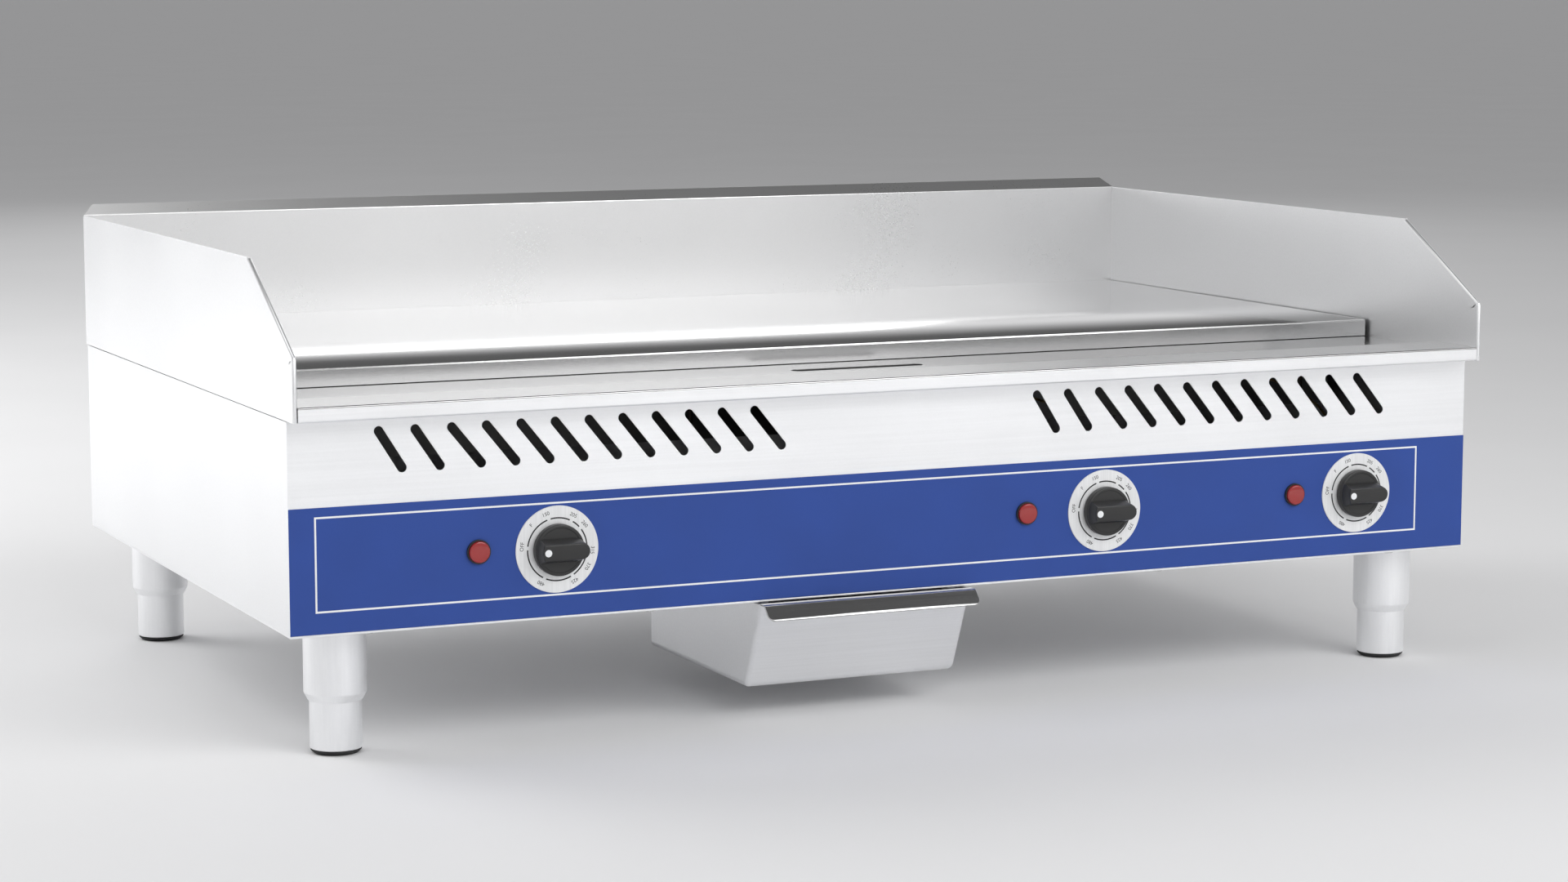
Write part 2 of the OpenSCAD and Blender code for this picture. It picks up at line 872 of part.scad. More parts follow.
// Outline of the tray's side, in Y and Z, set in by d all round
module tray_outline(d, top) {
    z0 = case_z - tray_drop + d;
    z1 = top;
    rise = tray_top - (case_z - tray_drop);
    lean = (tray_foot + tray_lead) / rise;
    slant = sqrt(1 + lean * lean);
    foot = tray_foot + d * slant;
    polygon([
        [foot - d * lean, z0],
        [tray_back - d, z0],
        [tray_back - d, z1],
        [foot - lean * (z1 - z0 + d), z1]
    ]);
}

module drip_tray() {
    back_top = case_z - 7.5;
    color(c_satin) from_front() difference() {
        union() {
            difference() {
                across(tray_x0, tray_x1) tray_outline(0, tray_top);
                across(tray_x0 + sheet, tray_x1 - sheet) tray_outline(sheet, tray_top + 1);
            }
            // Top edges turned inwards, which ride on the runners
            for (x = [tray_x0 + 0.5, tray_x1 - tray_rim]) {
                block([x, 8, tray_top - sheet], [x + tray_rim - 0.5, tray_back - 0.5, tray_top]);
            }
        }
        // The back wall is lower, so that it passes below the runners and the chute
        block([tray_x0 - 1, tray_back - sheet - 1, back_top], [tray_x1 + 1, tray_back + 1, case_z]);
        // Room for the pull along the top of the front
        block([tray_x0 - 1, -tray_lead - 1, pull_z], [tray_x1 + 1, pull_in - tray_lead, case_z]);
    }
}

// Pull welded across the top of the tray front: a short flat, then a flap at 45 degrees
module tray_handle() {
    flat = 5;
    flap = (pull_reach - flat) * sqrt(2) - 0.6;
    r = 5;
    y0 = -tray_lead;
    z1 = pull_z + sheet;
    color(c_polish) from_front() {
        block([tray_x0, y0 - flat, pull_z], [tray_x1, y0 + pull_in, z1]);
        translate([tray_x, y0 - flat, z1])
            rotate([-135, 0, 0])
                linear_extrude(sheet) difference() {
                    translate([-tray_w / 2, 0]) square([tray_w, flap]);
                    for (s = [-1, 1]) {
                        translate([s * (tray_w / 2 - r), flap - r]) difference() {
                            translate([s > 0 ? 0 : -r - 1, 0]) square([r + 1, r + 1]);
                            circle(r = r);
                        }
                    }
                }
    }
}

// Z-shaped rails under the case, inside the tray, that its turned edges slide along
module tray_runners() {
    t = 1.5;
    gap = 0.3;
    web = tray_rim + 1;
    low = tray_top - sheet - gap;
    color(c_steel) from_front() for (s = [-1, 1]) {
        translate([tray_x, 0, 0]) mirror([s > 0 ? 0 : 1, 0, 0]) {
            x = tray_w / 2 - web;
            block([x - t, 12, low - t], [x, 186, case_z]);
            block([x - t, 12, low - t], [x + web - sheet - 1.5, 186, low]);
        }
    }
}

/* Legs */

// Upper tube with a stud through the case floor and a threaded plate for the foot's stem
module leg(p) {
    r = leg_d / 2;
    hole = foot_d / 2 + foot_play;
    plate_top = leg_h - 6;
    nut_t = 5;
    color(c_side) from_front() translate([p.x, p.y, 0]) difference() {
        union() {
            rotate_extrude($fn = 72) polygon([
                [0, collar_end],
                [hole + 0.9, collar_end],
                [r, collar_z],
                [r, leg_h],
                [0, leg_h]
            ]);
            translate([0, 0, leg_h - 1]) cylinder(r = stud_leg_r, h = 20);
        }
        translate([0, 0, collar_end - 1]) cylinder(r = hole, h = foot_top + 1 - collar_end + 1, $fn = 72);
        translate([0, 0, foot_top]) cylinder(r = r - 4, h = plate_top - nut_t - foot_top, $fn = 48);
        translate([0, 0, foot_top]) cylinder(r = stem_r + thread_play, h = leg_h - 2 - foot_top, $fn = 48);
    }
}

// Lower tube of the leg, which screws in and out, with its stem
module foot(p) {
    r = foot_d / 2;
    color(c_side) from_front() translate([p.x, p.y, 0]) {
        rotate_extrude($fn = 72) polygon([
            [0, glide_h],
            [r - 0.8, glide_h],
            [r, glide_h + 0.8],
            [r, foot_top],
            [0, foot_top]
        ]);
        translate([0, 0, foot_top - 1]) cylinder(r = stem_r, h = leg_h - 4 - foot_top + 1, $fn = 48);
    }
}

module glide(p) {
    r = foot_d / 2 - 0.6;
    color(c_black) from_front() translate([p.x, p.y, 0])
        rotate_extrude($fn = 72) polygon([[0, 0], [r - 1.4, 0], [r, 1.4], [r, glide_h], [0, glide_h]]);
}

module leg_front_left() {
    leg(leg_points[0]);
}

module leg_front_right() {
    leg(leg_points[1]);
}

module leg_rear_left() {
    leg(leg_points[2]);
}

module leg_rear_right() {
    leg(leg_points[3]);
}

module foot_front_left() {
    foot(leg_points[0]);
}

module foot_front_right() {
    foot(leg_points[1]);
}

module foot_rear_left() {
    foot(leg_points[2]);
}

module foot_rear_right() {
    foot(leg_points[3]);
}

module glide_front_left() {
    glide(leg_points[0]);
}

module glide_front_right() {
    glide(leg_points[1]);
}

module glide_rear_left() {
    glide(leg_points[2]);
}

module glide_rear_right() {
    glide(leg_points[3]);
}

module leg_nuts() {
    nut_h = 8;
    color(c_steel) from_front() for (p = leg_points) {
        translate([p.x, p.y, panel_z]) hex_nut(17, nut_h, stud_leg_r + 0.1);
    }
}

// Pan-head screws in the back panel and up through the case floor
module case_screws() {
    head = 2.4;
    color(c_steel) from_front() {
        for (x = [-420, -210, 0, 210, 420], z = [panel_z + 8, top_z - 8]) {
            along_y(screw_r, x, z, case_d, case_d + head);
        }
        for (x = [-400, -200, 200, 400], y = [14, case_d - 14]) {
            translate([x, y, case_z - head]) cylinder(r = screw_r, h = head);
        }
    }
}

bottom_pan();
side_panel_left();
side_panel_right();
back_panel();
front_panel();
control_fascia();
front_trough();
guard_left();
guard_right();
back_splash();
griddle_plate();
drain_chute();
plate_rails();
element_1();
element_2();
element_3();
element_clamps();
clamp_nuts();
insulation_blanket();
heat_shield();
thermostat_1();
thermostat_2();
thermostat_3();
shaft_1();
shaft_2();
shaft_3();
bulb_1();
bulb_2();
bulb_3();
dial_1();
dial_2();
dial_3();
knob_1();
knob_2();
knob_3();
lamp_lens_1();
lamp_lens_2();
lamp_lens_3();
lamp_bodies();
terminal_block();
high_limit_switch();
cable_gland();
wiring_loom();
tray_runners();
drip_tray();
tray_handle();
leg_front_left();
leg_front_right();
leg_rear_left();
leg_rear_right();
foot_front_left();
foot_front_right();
foot_rear_left();
foot_rear_right();
glide_front_left();
glide_front_right();
glide_rear_left();
glide_rear_right();
case_screws();
leg_nuts();
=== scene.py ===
import json
import math

import bmesh
import bpy
from mathutils import Matrix, Vector

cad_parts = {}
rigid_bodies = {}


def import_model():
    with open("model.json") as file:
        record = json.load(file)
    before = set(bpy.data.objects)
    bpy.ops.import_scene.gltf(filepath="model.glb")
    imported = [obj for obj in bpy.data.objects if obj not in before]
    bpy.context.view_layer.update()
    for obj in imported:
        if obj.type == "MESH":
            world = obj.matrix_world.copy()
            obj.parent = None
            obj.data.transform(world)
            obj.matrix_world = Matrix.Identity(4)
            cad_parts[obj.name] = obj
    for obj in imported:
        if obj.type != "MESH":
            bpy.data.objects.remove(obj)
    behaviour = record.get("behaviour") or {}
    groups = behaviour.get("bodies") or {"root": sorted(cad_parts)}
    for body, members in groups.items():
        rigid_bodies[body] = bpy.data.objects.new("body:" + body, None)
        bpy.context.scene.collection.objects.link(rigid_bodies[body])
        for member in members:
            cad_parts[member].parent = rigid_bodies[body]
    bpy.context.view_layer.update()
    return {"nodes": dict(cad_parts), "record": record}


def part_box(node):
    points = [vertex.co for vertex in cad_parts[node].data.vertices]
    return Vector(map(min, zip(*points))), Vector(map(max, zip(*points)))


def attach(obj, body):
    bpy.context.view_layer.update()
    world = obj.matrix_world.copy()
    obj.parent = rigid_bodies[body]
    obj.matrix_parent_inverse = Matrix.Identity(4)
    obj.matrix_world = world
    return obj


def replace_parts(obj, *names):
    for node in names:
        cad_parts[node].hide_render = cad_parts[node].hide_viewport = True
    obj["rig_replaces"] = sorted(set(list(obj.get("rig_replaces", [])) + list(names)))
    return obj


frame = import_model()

MM = 0.001

# ---------------------------------------------------------------- places from the frame


def low(node):
    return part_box(node)[0]


def high(node):
    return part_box(node)[1]


def middle(node):
    return (low(node) + high(node)) / 2


FRONT_Y = low("front_panel").y
BACK_Y = high("back_panel").y
CASE_Z = low("bottom_pan").z
TOP_Z = high("front_panel").z
APRON_Z = low("guard_left").z
APRON_Y = low("front_trough").y
SHELF_Z = high("front_trough").z
PLATE_Z = high("plate_rails").z
SEAM = 0.35 * MM
FLOOR_Z = PLATE_Z - SEAM
GUARD_HW = high("guard_right").x
GUARD_Z = high("guard_right").z
SHEET = 1.2 * MM
# Gap between a guard's outer face and the end of a sheet that runs across, inside the hem or the sheet
PAST_HEM, PAST_SHEET = 3.4 * MM, 1.4 * MM
ZONES = ("1", "2", "3")
CORNERS = ("front_left", "front_right", "rear_left", "rear_right")
# Points closer than this are the same point
SAME_POINT = 1e-7

SLOT_OF = {s["node"]: s["material_slot"] for s in frame["record"]["subparts"]}
BODY_OF = {n: b for b, nodes in frame["record"]["behaviour"]["bodies"].items() for n in nodes}

# ---------------------------------------------------------------- outlines


def arc(centre, radius, start, end, steps):
    """Points of a round stretch, from one angle to another, in degrees."""
    points = []
    for i in range(steps + 1):
        a = math.radians(start + (end - start) * i / steps)
        points.append((centre[0] + radius * math.cos(a), centre[1] + radius * math.sin(a)))
    return points


def rounded(points, radii, steps=5, closed=True):
    """The polygon with each corner rounded to its own radius."""
    out = []
    count = len(points)
    for i, (p, radius) in enumerate(zip(points, radii)):
        ends = not closed and i in (0, count - 1)
        if radius <= 0 or ends:
            out.append(tuple(p))
            continue
        here, before, after = Vector(p), Vector(points[i - 1]), Vector(points[(i + 1) % count])
        a, b = (before - here).normalized(), (after - here).normalized()
        half = a.angle(b) / 2
        reach = radius / math.tan(half)
        centre = here + (a + b).normalized() * (radius / math.sin(half))
        first, last = here + a * reach - centre, here + b * reach - centre
        turn = first.angle_signed(last)
        for k in range(steps + 1):
            t = -turn * k / steps
            c, s = math.cos(t), math.sin(t)
            out.append((centre.x + first.x * c - first.y * s, centre.y + first.x * s + first.y * c))
    return out


def offset_path(path, distance):
    """An open path moved sideways, to its left, with mitred corners."""
    sharpest = 0.2
    out = []
    for i, p in enumerate(path):
        here = Vector(p)
        steps = []
        if i > 0:
            steps.append((here - Vector(path[i - 1])).normalized())
        if i < len(path) - 1:
            steps.append((Vector(path[i + 1]) - here).normalized())
        normals = [Vector((-s.y, s.x)) for s in steps]
        side = sum(normals, Vector((0, 0))).normalized()
        out.append(tuple(here + side * (distance / max(sharpest, side.dot(normals[0])))))
    return out


def sheet_outline(path, thickness):
    """Closed outline of a folded sheet from the line down its middle."""
    return offset_path(path, thickness / 2) + offset_path(path, -thickness / 2)[::-1]


# ---------------------------------------------------------------- mesh work


def bridge(bm, a, b):
    """Quads between two rings of vertices."""
    count = len(a)
    for i in range(count):
        j = (i + 1) % count
        bm.faces.new((a[i], a[j], b[j], b[i]))


def loft(rings):
    """A closed solid through rings of points that all have the same count."""
    bm = bmesh.new()
    made = [[bm.verts.new(p) for p in ring] for ring in rings]
    for a, b in zip(made, made[1:]):
        bridge(bm, a, b)
    bm.faces.new(made[0])
    bm.faces.new(made[-1])
    bmesh.ops.recalc_face_normals(bm, faces=bm.faces)
    return bm


def hoop(rings):
    """A closed solid with a hole: the last ring of points is joined to the first."""
    bm = bmesh.new()
    made = [[bm.verts.new(p) for p in ring] for ring in rings + [rings[0]]]
    for a, b in zip(made, made[1:]):
        bridge(bm, a, b)
    bmesh.ops.recalc_face_normals(bm, faces=bm.faces)
    bmesh.ops.remove_doubles(bm, verts=bm.verts, dist=SAME_POINT)
    return bm


def lathe(profile, centre, axis="Z", segments=96):
    """A turned solid. The profile is (radius, height) pairs: from axis to axis, or back to its start
    if there is a hole."""
    bm = bmesh.new()

    def point(radius, height, angle):
        u, v = radius * math.cos(angle), radius * math.sin(angle)
        local = Vector((u, v, height)) if axis == "Z" else Vector((u, -height, v))
        return Vector(centre) + local

    angles = [2 * math.pi * i / segments for i in range(segments)]
    rings = []
    for radius, height in profile:
        if radius < SAME_POINT:
            rings.append([bm.verts.new(point(0, height, 0))])
            continue
        rings.append([bm.verts.new(point(radius, height, angle)) for angle in angles])
    for a, b in zip(rings, rings[1:]):
        if len(a) == 1 and len(b) == 1:
            continue
        if len(a) > 1 and len(b) > 1:
            bridge(bm, a, b)
            continue
        tip, ring = (a[0], b) if len(a) == 1 else (b[0], a)
        for i in range(segments):
            bm.faces.new((tip, ring[i], ring[(i + 1) % segments]))
    bmesh.ops.recalc_face_normals(bm, faces=bm.faces)
    return bm


def across(outline, reach):
    """An outline in Y and Z drawn out along X; reach gives the half width at a height."""
    return loft([[(side * reach(z), y, z) for y, z in outline] for side in (-1, 1)])


def merge(bm, other):
    """Adds another mesh under construction to bm."""
    mesh = bpy.data.meshes.new("part")
    other.to_mesh(mesh)
    other.free()
    bm.from_mesh(mesh)
    bpy.data.meshes.remove(mesh)


def cad_copy(node):
    """A node's own solid with its coplanar triangles joined into clean faces."""
    weld, flat_angle = 0.015 * MM, 0.5
    bm = bmesh.new()
    bm.from_mesh(frame["nodes"][node].data)
    bmesh.ops.remove_doubles(bm, verts=bm.verts, dist=weld)
    bmesh.ops.dissolve_limit(bm, angle_limit=math.radians(flat_angle), verts=bm.verts, edges=bm.edges)
    bmesh.ops.recalc_face_normals(bm, faces=bm.faces)
    return bm


def is_flat(face):
    """True for the plain faces of a sheet or block, False for narrow strips of bends and edges."""
    square_on, widest_strip, no_length = 0.99995, 0.45 * MM, 1e-9
    if max(abs(c) for c in face.normal) > square_on:
        return True
    return face.calc_area() / max(face.calc_perimeter(), no_length) > widest_strip


def round_edges(bm, edges, width, segments):
    bmesh.ops.bevel(bm, geom=edges, offset=width, segments=segments, affect="EDGES", profile=0.5,
                    clamp_overlap=True)


def ease_edges(bm, width, angle):
    """Rounds every edge that turns by more than the angle."""
    turn = math.radians(angle)
    edges = [e for e in bm.edges if len(e.link_faces) == 2 and e.calc_face_angle(0) > turn]
    round_edges(bm, edges, width, 2)


def piece(name, bm, material, nodes=(), body=None, bevel=0.0, angle=35, smooth=False):
    """Turns a mesh under construction into a piece of the object that rides on its body."""
    if bevel:
        ease_edges(bm, bevel, angle)
    bm.normal_update()
    for face in bm.faces:
        face.smooth = smooth or not is_flat(face)
    mesh = bpy.data.meshes.new(name)
    bm.to_mesh(mesh)
    bm.free()
    if smooth or not bevel:
        mesh.set_sharp_from_angle(angle=math.radians(angle))
    mesh.materials.append(material)
    obj = bpy.data.objects.new(name, mesh)
    bpy.context.scene.collection.objects.link(obj)
    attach(obj, body or BODY_OF[nodes[0]])
    if nodes:
        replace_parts(obj, *nodes)


# ---------------------------------------------------------------- materials


class Look:
    """A node material under construction."""

    def __init__(self, name, colour, metallic=0.0, roughness=0.5, **sockets):
        self.material = bpy.data.materials.new(name)
        self.material.use_nodes = True
        self.tree = self.material.node_tree
        self.shader = self.tree.nodes["Principled BSDF"]
        self.colour = colour
        self.shader.inputs["Base Color"].default_value = (*colour, 1)
        self.shader.inputs["Metallic"].default_value = metallic
        self.shader.inputs["Roughness"].default_value = roughness
        for socket, value in sockets.items():
            self.shader.inputs[socket.replace("_", " ")].default_value = value
        self.place = self.tree.nodes.new("ShaderNodeTexCoord").outputs["Object"]

    def node(self, kind, **values):
        made = self.tree.nodes.new(kind)
        for key, value in values.items():
            setattr(made, key, value)
        return made

    def link(self, a, b):
        self.tree.links.new(a, b)

    def noise(self, scale, detail=3.0):
        """Noise with its own frequency along X, Y and Z, per metre."""
        mapping = self.node("ShaderNodeMapping")
        mapping.inputs["Scale"].default_value = scale
        texture = self.node("ShaderNodeTexNoise")
        texture.inputs["Scale"].default_value = 1.0
        texture.inputs["Detail"].default_value = detail
        self.link(self.place, mapping.inputs["Vector"])
        self.link(mapping.outputs["Vector"], texture.inputs["Vector"])
        return texture.outputs["Fac"]

    def remap(self, value, to_low, to_high, from_low=0.3, from_high=0.7):
        """The value stretched to a new range; noise mostly lies between 0.3 and 0.7."""
        ramp = self.node("ShaderNodeMapRange")
        for socket, number in (("From Min", from_low), ("From Max", from_high),
                               ("To Min", to_low), ("To Max", to_high)):
            ramp.inputs[socket].default_value = number
        self.link(value, ramp.inputs["Value"])
        return ramp.outputs["Result"]

    def add(self, a, b):
        total = self.node("ShaderNodeMath", operation="ADD")
        self.link(a, total.inputs[0])
        self.link(b, total.inputs[1])
        return total.outputs["Value"]

    def tint(self, value, dark, light):
        """Base colour that runs between two shades of the colour."""
        mix = self.node("ShaderNodeMix", data_type="RGBA")
        mix.inputs["A"].default_value = (*[c * dark for c in self.colour], 1)
        mix.inputs["B"].default_value = (*[min(1, c * light) for c in self.colour], 1)
        self.link(value, mix.inputs["Factor"])
        self.link(mix.outputs["Result"], self.shader.inputs["Base Color"])

    def rough(self, value):
        self.link(value, self.shader.inputs["Roughness"])

    def bump(self, value, depth, strength=0.5):
        bump = self.node("ShaderNodeBump")
        bump.inputs["Strength"].default_value = strength
        bump.inputs["Distance"].default_value = depth
        self.link(value, bump.inputs["Height"])
        self.link(bump.outputs["Normal"], self.shader.inputs["Normal"])


# Frequencies of a steel's grain along X, Y and Z, per metre
ALONG_X, SPECKLE = (9, 650, 650), (800, 800, 800)


def even(frequency):
    """The same frequency along X, Y and Z."""
    return (frequency, frequency, frequency)


def grey(level):
    return (level, level, level)


def steel(name, colour, roughness, grain, spread=0.05, depth=0.02 * MM, smudge=0.03,
          shades=(0.95, 1.04)):
    """Stainless sheet: fine grain with its own direction, speckle, and slow smudges."""
    grain_share, smudge_share = 0.7, 0.4
    look = Look(name, colour, metallic=1.0, roughness=roughness)
    lines = look.noise(grain, detail=2 if grain == SPECKLE else 4)
    speckle = look.noise(even(900), detail=2)
    slow = look.noise(even(7), detail=2)
    both = look.add(look.remap(lines, 0, grain_share), look.remap(speckle, 0, 1 - grain_share))
    shade = look.add(look.remap(both, 0, 1 - smudge_share, 0, 1), look.remap(slow, 0, smudge_share))
    look.tint(shade, *shades)
    fine = look.remap(both, roughness - spread, roughness + spread, 0, 1)
    look.rough(look.add(fine, look.remap(slow, -smudge, smudge)))
    look.bump(both, depth)
    return look.material


def plastic(name, colour, roughness, scale=1400, depth=0.05 * MM, shades=(0.85, 1.15), **sockets):
    """Moulded or printed surface with a fine even texture."""
    fine_spread, slow_spread = 0.05, 0.04
    look = Look(name, colour, roughness=roughness, **sockets)
    fine = look.noise(even(scale), detail=2)
    slow = look.noise(even(22), detail=3)
    look.tint(look.remap(slow, 0, 1), *shades)
    look.rough(look.add(look.remap(fine, -fine_spread, fine_spread),
                        look.remap(slow, roughness - slow_spread, roughness + slow_spread)))
    look.bump(fine, depth, 0.25)
    return look.material


# By material slot; the trough, splash, chute, tray and pull have looks of their own within their slots
LOOKS = {
    "satin_steel": steel("satin_steel", (0.94, 0.945, 0.955), 0.45, ALONG_X),
    "side_steel": steel("side_steel", (0.95, 0.955, 0.965), 0.36, SPECKLE, spread=0.04, smudge=0.015),
    "plate_steel": steel("plate_steel", grey(0.73), 0.17, SPECKLE, spread=0.02, depth=0.006 * MM,
                         smudge=0.012, shades=(0.97, 1.03)),
    "inner_steel": steel("inner_steel", grey(0.42), 0.5, even(60), shades=(0.8, 1.1)),
    "screw_steel": steel("screw_steel", grey(0.62), 0.25, even(300)),
    "leg_steel": steel("leg_steel", (0.95, 0.955, 0.97), 0.5, (500, 500, 40)),
    "element_sheath": steel("element_sheath", (0.22, 0.17, 0.14), 0.55, even(80), shades=(0.7, 1.3)),
    "trough": steel("trough", grey(0.42), 0.15, SPECKLE, spread=0.012, depth=0.003 * MM, smudge=0.01,
                    shades=(0.98, 1.02)),
    "splash": steel("splash", grey(0.84), 0.29, SPECKLE, spread=0.015, depth=0.004 * MM, smudge=0.012,
                    shades=(0.98, 1.02)),
    "drain_chute": steel("chute", grey(0.10), 0.6, even(60), shades=(0.7, 1.2)),
    "tray": steel("tray", (0.90, 0.905, 0.92), 0.45, ALONG_X),
    "pull": steel("pull", grey(0.62), 0.14, ALONG_X, depth=0.008 * MM),
    "brass": steel("brass", (0.72, 0.53, 0.25), 0.3, even(200)),
    "band_print": plastic("band_print", (0.026, 0.068, 0.300), 0.55, depth=0.02 * MM,
                          shades=(0.96, 1.05), Specular_IOR_Level=0.3),
    "black_plastic": plastic("black_plastic", grey(0.018), 0.5),
    "knob_plastic": plastic("knob_plastic", grey(0.022), 0.38),
    "lead_insulation": plastic("lead_insulation", (0.30, 0.02, 0.015), 0.5),
    "glide_rubber": plastic("glide_rubber", (0.014, 0.014, 0.015), 0.7, scale=900),
    "mineral_wool": plastic("mineral_wool", (0.60, 0.50, 0.28), 0.95, scale=260, depth=1.2 * MM,
                            shades=(0.7, 1.2)),
    "lamp_red": plastic("lamp_red", (0.30, 0.012, 0.012), 0.12, scale=500, Coat_Weight=0.6,
                        Coat_Roughness=0.05),
}
DIAL_INK = plastic("dial_ink", (0.012, 0.012, 0.013), 0.5)
WHITE_PRINT = plastic("white_print", (0.86, 0.87, 0.88), 0.4, shades=(0.97, 1.0))


def dial_face():
    """White enamel over brushed metal: streaks up and down and a faint sheen."""
    look = Look("dial_print", (0.82, 0.825, 0.83), metallic=0.25, roughness=0.38)
    lines = look.noise((900, 900, 14), detail=3)
    look.tint(look.remap(lines, 0, 1), 0.93, 1.04)
    look.rough(look.remap(lines, 0.30, 0.46))
    look.bump(lines, 0.01 * MM)
    return look.material


LOOKS["dial_print"] = dial_face()

# ---------------------------------------------------------------- lower case


def case_sheets():
    """Panels of the case and the control band, with their cut edges eased."""
    for node, bevel in (("front_panel", 0.5), ("side_panel_left", 0.2), ("side_panel_right", 0.2),
                        ("back_panel", 0.4), ("bottom_pan", 0.35), ("control_fascia", 0.12)):
        piece(node + "_sheet", cad_copy(node), LOOKS[SLOT_OF[node]], [node], bevel=bevel * MM)


def band_outline():
    """White line printed round the control band."""
    x0, x1 = -439 * MM, 414.4 * MM
    z0, z1 = CASE_Z + 15.7 * MM, CASE_Z + 79 * MM
    width, proud = 1.25 * MM, 0.06 * MM
    face = low("control_fascia").y
    rings = []
    for inset, y in ((0, face), (0, face - proud), (width, face - proud), (width, face)):
        rings.append([(x0 + inset, y, z0 + inset), (x1 - inset, y, z0 + inset),
                      (x1 - inset, y, z1 - inset), (x0 + inset, y, z1 - inset)])
    piece("band_outline", hoop(rings), WHITE_PRINT, body="griddle")


# ---------------------------------------------------------------- top


def slot_outline(grow=0.0):
    """Outline of the drain slot, seen from above, or of its rim that much further out."""
    length, width, steps = 104 * MM, 12.5 * MM, 16
    x, y = -5 * MM, middle("drain_chute").y
    half = (length - width) / 2
    r = width / 2 + grow
    return arc((x + half, y), r, -90, 90, steps) + arc((x - half, y), r, 90, 270, steps)


def fill_between(bm, outer, hole):
    """Covers the ground between a loop of vertices and a hole inside it."""
    edges = []
    for loop in (outer, hole):
        for a, b in zip(loop, loop[1:] + loop[:1]):
            edges.append(bm.edges.get((a, b)) or bm.edges.new((a, b)))
    bmesh.ops.triangle_fill(bm, use_beauty=True, edges=edges)


def apron():
    """Front apron: its underside and its face, below the bead."""
    t = SHEET
    y0, y1 = APRON_Y, FRONT_Y - 1 * MM
    neck = SHELF_Z - 1.3 * MM
    bend, inner_bend = 1.4 * MM, 0.4 * MM
    outline = rounded([(y1, APRON_Z), (y0, APRON_Z), (y0, neck), (y0 + t, neck),
                       (y0 + t, APRON_Z + t), (y1, APRON_Z + t)],
                      [0, bend, 0, 0, inner_bend, 0])
    bm = across(outline, lambda z: GUARD_HW - PAST_HEM)
    piece("apron_sheet", bm, LOOKS["satin_steel"], ["front_trough"], bevel=0.2 * MM, angle=50)


def bead():
    """Bright rolled bead along the top of the apron."""
    r, points = 1.05 * MM, 24
    outline = arc((APRON_Y + r, SHELF_Z - r), r, 0, 360 - 360 / points, points - 1)
    bm = across(outline, lambda z: GUARD_HW - PAST_HEM)
    piece("apron_bead", bm, LOOKS["trough"], ["front_trough"], angle=40)


def trough():
    """Shelf behind the apron's bead, a step down, and the trough floor with the drain slot."""
    t = SHEET
    shelf = SHELF_Z - 0.4 * MM
    y0, y1 = APRON_Y + 1.9 * MM, APRON_Y + 53 * MM
    back, under = high("front_trough").y, FLOOR_Z - t
    outline = rounded(
        [(y0, shelf), (y1, shelf), (y1, FLOOR_Z), (back, FLOOR_Z), (back, under), (y1 - t, under),
         (y1 - t, shelf - t), (y0, shelf - t)],
        [0.5 * MM, 1.5 * MM, 1.0 * MM, 0, 0, 1.6 * MM, 0.5 * MM, 0.3 * MM])
    hole = slot_outline()
    hw, apart = GUARD_HW - PAST_SHEET, 6 * MM
    xa, xb = min(x for x, _ in hole) - apart, max(x for x, _ in hole) + apart
    bm = bmesh.new()
    made = [[bm.verts.new((x, y, z)) for y, z in outline] for x in (-hw, xa, xb, hw)]
    bm.faces.new(made[0])
    bm.faces.new(made[-1])
    floor_top = outline.index((back, FLOOR_Z)) - 1
    floor_under = floor_top + 2
    for k, (a, b) in enumerate(zip(made, made[1:])):
        for i in range(len(outline)):
            j = (i + 1) % len(outline)
            if k != 1 or i not in (floor_top, floor_under):
                bm.faces.new((a[i], a[j], b[j], b[i]))
    # The slot's rim, rounded a little
    roll = 0.3 * MM
    rim = []
    for degrees in (0, 30, 60, 90):
        turn = math.radians(degrees)
        rim.append([bm.verts.new((x, y, FLOOR_Z - roll * (1 - math.cos(turn))))
                    for x, y in slot_outline(roll * (1 - math.sin(turn)))])
    rim.append([bm.verts.new((x, y, under)) for x, y in hole])
    for a, b in zip(rim, rim[1:]):
        bridge(bm, a, b)
    for i, ring in ((floor_top, rim[0]), (floor_under, rim[-1])):
        fill_between(bm, [made[1][i], made[2][i], made[2][i + 1], made[1][i + 1]], ring)
    bmesh.ops.recalc_face_normals(bm, faces=bm.faces)
    piece("trough_sheet", bm, LOOKS["trough"], ["front_trough"], bevel=0.25 * MM, angle=50)


def slot_painted_shade():
    """Painted shade: a dark sheet with the drain chute's dark look on the walls of the drain slot, where
    there is only shade, sunk into them a little.
    """
    sunk, proud = 0.05 * MM, 0.3 * MM
    top, bottom = FLOOR_Z - 0.2 * MM, FLOOR_Z - SHEET - 0.1 * MM
    rings = [[(x, y, z) for x, y in slot_outline(grow)] for grow, z in
             ((sunk, top), (-proud, top), (-proud, bottom), (sunk, bottom))]
    piece("slot_painted_shade", hoop(rings), LOOKS["drain_chute"], body="griddle")


